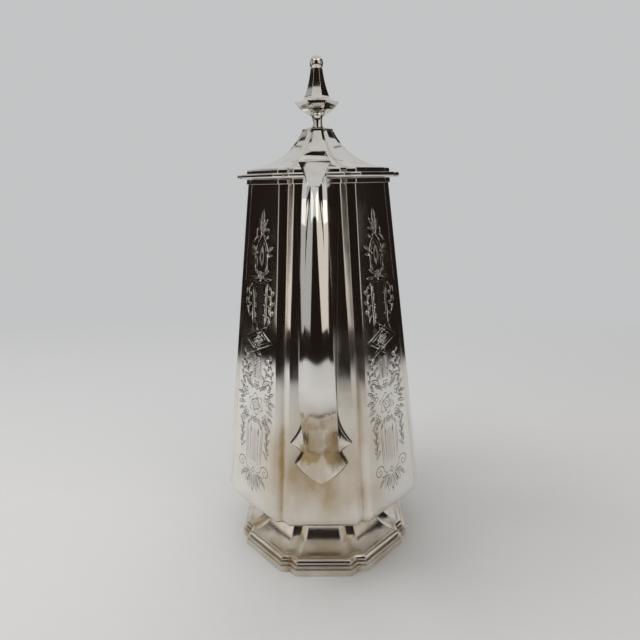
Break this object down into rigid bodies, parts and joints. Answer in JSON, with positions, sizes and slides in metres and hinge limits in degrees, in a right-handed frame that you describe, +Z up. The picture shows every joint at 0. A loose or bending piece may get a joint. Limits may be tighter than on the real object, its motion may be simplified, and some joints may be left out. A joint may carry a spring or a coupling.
{
  "type": "silver coffee pot",
  "caption": "Tall panelled coffee pot with a tapering notched body, stepped foot, bevelled strap handle, curved spout and hinged domed lid with a finial.",
  "frame": {"origin": "centre of the foot's underside, on the surface the pot stands on", "axes": "+Z up, +X towards the spout, -X towards the handle and the lid's hinge"},
  "size_m": [0.1956, 0.1072, 0.2618],
  "materials": {
    "polished_silver": "polished",
    "handle_silver": "polished",
    "inner_silver": "satin",
    "fixing_brass": "plain"
  },
  "bodies": {
    "pot": {"foot_rim": "polished_silver", "foot_cove": "polished_silver", "body_floor": "inner_silver", "body_shell": "polished_silver", "mouth_rim": "polished_silver", "spout": "polished_silver", "spout_base_collar": "polished_silver", "spout_strainer": "inner_silver", "handle_grip": "handle_silver", "handle_spur": "handle_silver", "handle_upper_socket": "handle_silver", "handle_lower_shield": "handle_silver", "handle_lower_ears": "handle_silver", "hinge_body_knuckles": "polished_silver", "hinge_pin": "fixing_brass"},
    "lid": {"lid_flange": "polished_silver", "lid_step": "polished_silver", "lid_dome": "polished_silver", "lid_bezel": "inner_silver", "hinge_lid_knuckles": "polished_silver", "finial_collar": "polished_silver", "finial_stem": "polished_silver", "finial_cup": "polished_silver", "finial_cap": "polished_silver", "finial_spire": "polished_silver", "finial_ball": "polished_silver", "finial_stud": "fixing_brass", "finial_washer": "fixing_brass", "finial_nut": "fixing_brass"}
  },
  "joints": [
    {"name": "lid_hinge", "type": "hinge", "parent": "pot", "child": "lid", "pos_m": [-0.0425, 0, 0.208], "axis": [0, -1, 0], "range_deg": [0, 100]}
  ]
}
